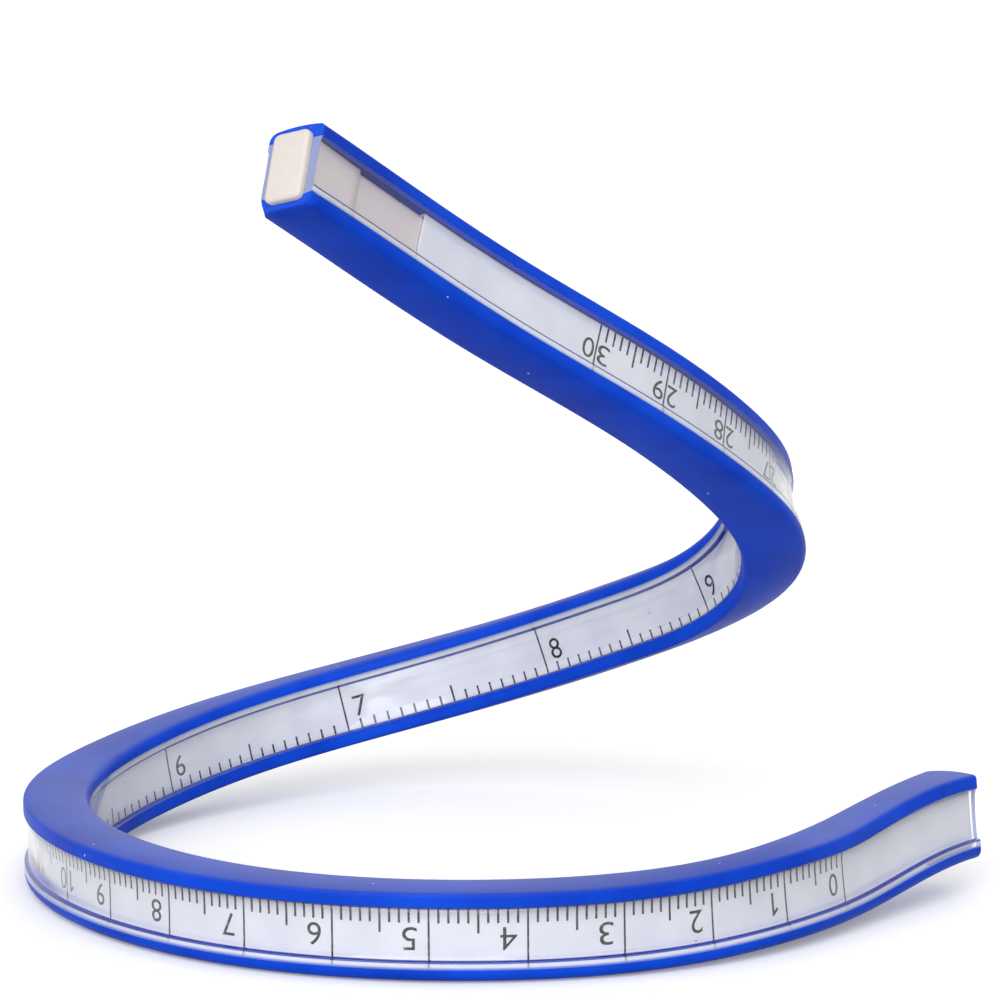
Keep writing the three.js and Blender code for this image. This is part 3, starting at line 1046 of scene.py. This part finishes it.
def font_figure(bm, figure):
    """Any other figure, from the font."""
    before = set(bm.verts)
    curve = bpy.data.curves.new("figure", "FONT")
    curve.body = figure
    curve.resolution_u = CURVE_STEPS
    curve.offset = THINNER
    curve.extrude = INK_THICKNESS / 2
    maker = bpy.data.objects.new("figure", curve)
    bm.from_mesh(maker.to_mesh())
    maker.to_mesh_clear()
    bpy.data.objects.remove(maker)
    bpy.data.curves.remove(curve)
    fresh = [vert for vert in bm.verts if vert not in before]
    xs, ys = [v.co.x for v in fresh], [v.co.y for v in fresh]
    bmesh.ops.translate(bm, verts=fresh, vec=(-(min(xs) + max(xs)) / 2, -min(ys), 0))
    wide = WIDER_FIGURES.get(figure, NUMBER_WIDTH) / (max(xs) - min(xs))
    bmesh.ops.scale(bm, verts=fresh, vec=(wide, NUMBER_HEIGHT / (max(ys) - min(ys)), 1))
    bmesh.ops.remove_doubles(bm, verts=fresh, dist=DOUBLES)
    return [vert for vert in bm.verts if vert not in before]


def numeral(bm, number, distance, base):
    """A number, its middle at a distance and its foot at a base height."""
    text = str(number)
    pitch = NUMBER_WIDTH + FIGURE_GAP
    first = distance - pitch * (len(text) - 1) / 2
    for i, figure in enumerate(text):
        verts = drawn_one(bm) if figure == "1" else font_figure(bm, figure)
        bmesh.ops.translate(bm, verts=verts, vec=(first + i * pitch, base, 0))


print("figures", NUMBER_WIDTH, "x", NUMBER_HEIGHT, "mm")

# %% [markdown]
# ## The centimetre scale
# Thirty centimetres in millimetres. Each centimetre has a line over the whole window. A number
# of one figure stands beside its line, and one of two figures stands across it.

# %% Centimetre scale
SCALE_CM = 30
MM_TICK = 1.78
HALF_CM_TICK = 2.8
CM_NUMBER_BASE = 2.2
NUMBER_OFFSET = 1.95
WINDOW_HEIGHT = TICK_JOINT + LIP_JOINT


def draw_cm_mark(bm, mm):
    if mm % MM_PER_CM == 0:
        ink_line(bm, mm, WINDOW_HEIGHT)
        cm = mm // MM_PER_CM
        numeral(bm, cm, mm + (NUMBER_OFFSET if cm < 10 else 0), CM_NUMBER_BASE)
    else:
        ink_line(bm, mm, HALF_CM_TICK if mm % 5 == 0 else MM_TICK, TICK_WIDTH)


cm_marks = range(SCALE_CM * MM_PER_CM + 1)
print("marks on the centimetre scale:", len(cm_marks))

# %% [markdown]
# ## The inch scale
# Twelve inches in sixteenths, on the other face. Its ticks are shorter, and every number
# stands beside its line.

# %% Inch scale
INCH = 25.4
SCALE_INCHES = 12
PARTS = 16
SIXTEENTH_TICK = 1.2
HALF_INCH_TICK = 2.1
INCH_NUMBER_BASE = 1.5


def draw_inch_mark(bm, mm):
    sixteenth = round(mm * PARTS / INCH)
    if sixteenth % PARTS == 0:
        ink_line(bm, mm, WINDOW_HEIGHT)
        numeral(bm, sixteenth // PARTS, mm + NUMBER_OFFSET, INCH_NUMBER_BASE)
    else:
        half = sixteenth % (PARTS // 2) == 0
        ink_line(bm, mm, HALF_INCH_TICK if half else SIXTEENTH_TICK, TICK_WIDTH)


inch_marks = [sixteenth * INCH / PARTS for sixteenth in range(SCALE_INCHES * PARTS + 1)]
print("marks on the inch scale:", len(inch_marks))

# %% [markdown]
# ## The print, laid on the sleeve
# Each print is drawn flat in its own reading direction. It is then turned onto its face of
# the sleeve, which swaps height for "up" and thickness for "left", and laid like every other
# piece. A mark belongs to the zone that its station is in.

# %% Printed scales
SLEEVE_SIDE = CAVITY_SIDE - SLEEVE_CLEARANCE

for zone in zones:
    for kind, side, station_of, marks, draw_mark in (
        ("print_cm", 1, cm_station, cm_marks, draw_cm_mark),
        ("print_inch", -1, inch_station, inch_marks, draw_inch_mark),
    ):
        bm = bmesh.new()
        for mm in marks:
            if zone.start <= station_of(mm) < zone.end:
                draw_mark(bm, mm)
        for vert in bm.verts:
            distance, rise, thick = vert.co
            left = side * (SLEEVE_SIDE + INK_THICKNESS / 2 + thick)
            vert.co = (station_of(distance), left, side * (TICK_JOINT - rise))
        piece = laid(bm, f"{kind}_zone_{zone.number}", ink)
        zone.place(piece, "white_sleeve")
print("scales printed in", len(zones), "zones")

# %% [markdown]
# ## The table
# The ruler lies on a plain white table. White comes from the table's colour and a little glow
# for what the camera sees: directly, through the clear vinyl or in a gloss. For the light
# that bounces to the ruler it is grey, because a fully white table would lighten the
# undersides too much.

# %% Table
TABLE_REACH = 6
TABLE_GLOW = 0.22


def seen_rays(tree):
    """One for what the camera sees: directly, through clear vinyl or in a gloss."""
    way = add(tree, "ShaderNodeLightPath")
    straight_on = add(tree, "ShaderNodeMath", {"operation": "MAXIMUM"},
                      {0: (way, "Is Camera Ray"), 1: (way, "Is Transmission Ray")})
    return add(tree, "ShaderNodeMath", {"operation": "MAXIMUM"},
               {0: (way, "Is Glossy Ray"), 1: (straight_on, "Value")})


# Painted board, white and matt.
white_table, tree, shader = material("white_table", {
    "Roughness": 0.8, "Emission Color": (1, 1, 1, 1),
})
seen = seen_rays(tree)
tint = add(tree, "ShaderNodeMix",
           {"data_type": "RGBA", 6: linear("#ACACAC"), 7: linear("#FFFFFF")},
           {0: (seen, "Value")})
tree.links.new(tint.outputs[2], shader.inputs["Base Color"])
glow = add(tree, "ShaderNodeMath", {"operation": "MULTIPLY", 1: TABLE_GLOW},
           {0: (seen, "Value")})
tree.links.new(glow.outputs["Value"], shader.inputs["Emission Strength"])

bm = bmesh.new()
bmesh.ops.create_grid(bm, x_segments=1, y_segments=1, size=TABLE_REACH)
mesh = bpy.data.meshes.new("table")
bm.to_mesh(mesh)
bm.free()
mesh.materials.append(white_table)
table = bpy.data.objects.new("table", mesh)
bpy.context.scene.collection.objects.link(table)
print("table of", 2 * TABLE_REACH, "m")

# %% [markdown]
# ## The room
# The photo has a pure white background and soft light from all round. One strength can't give
# both, so the room is at full white for what the camera sees and at half for the light that
# falls on the ruler. The blue then renders as it is written.

# %% Room
ROOM_LIGHT = 0.5
SEEN_WHITE = 1.0

world = bpy.data.worlds.new("white_room")
bpy.context.scene.world = world
world.use_nodes = True
tree = world.node_tree
background = tree.nodes["Background"]
background.inputs["Color"].default_value = (1, 1, 1, 1)
strength = add(tree, "ShaderNodeMapRange", {"To Min": ROOM_LIGHT, "To Max": SEEN_WHITE},
               {"Value": (seen_rays(tree), "Value")})
tree.links.new(strength.outputs["Result"], background.inputs["Strength"])
print("room light:", ROOM_LIGHT)

# %% [markdown]
# ## Two soft lamps
# A studio softbox is a large lamp close by. A sun lamp with a wide angle gives the same soft
# shade, and it lights every view and pose alike. The front one models the faces, and a weak
# one behind keeps the back from going flat.

# %% Lamps
# Each as (name, strength, angle in degrees, direction that it shines from).
LAMPS = (
    ("front_light", 2.4, 60, (-0.2, -0.88, 0.42)), ("back_light", 0.4, 40, (0.2, 0.85, 0.45)),
)
for name, energy, spread, direction in LAMPS:
    lamp = bpy.data.objects.new(name, bpy.data.lights.new(name, "SUN"))
    lamp.data.energy = energy
    lamp.data.angle = radians(spread)
    lamp.rotation_euler = Vector(direction).to_track_quat("Z", "Y").to_euler()
    bpy.context.scene.collection.objects.link(lamp)
print("lamps:", len(LAMPS))

# %% [markdown]
# ## The colour view
# The Standard view shows colours as they are written.

# %% The colour view
bpy.context.scene.view_settings.view_transform = "Standard"
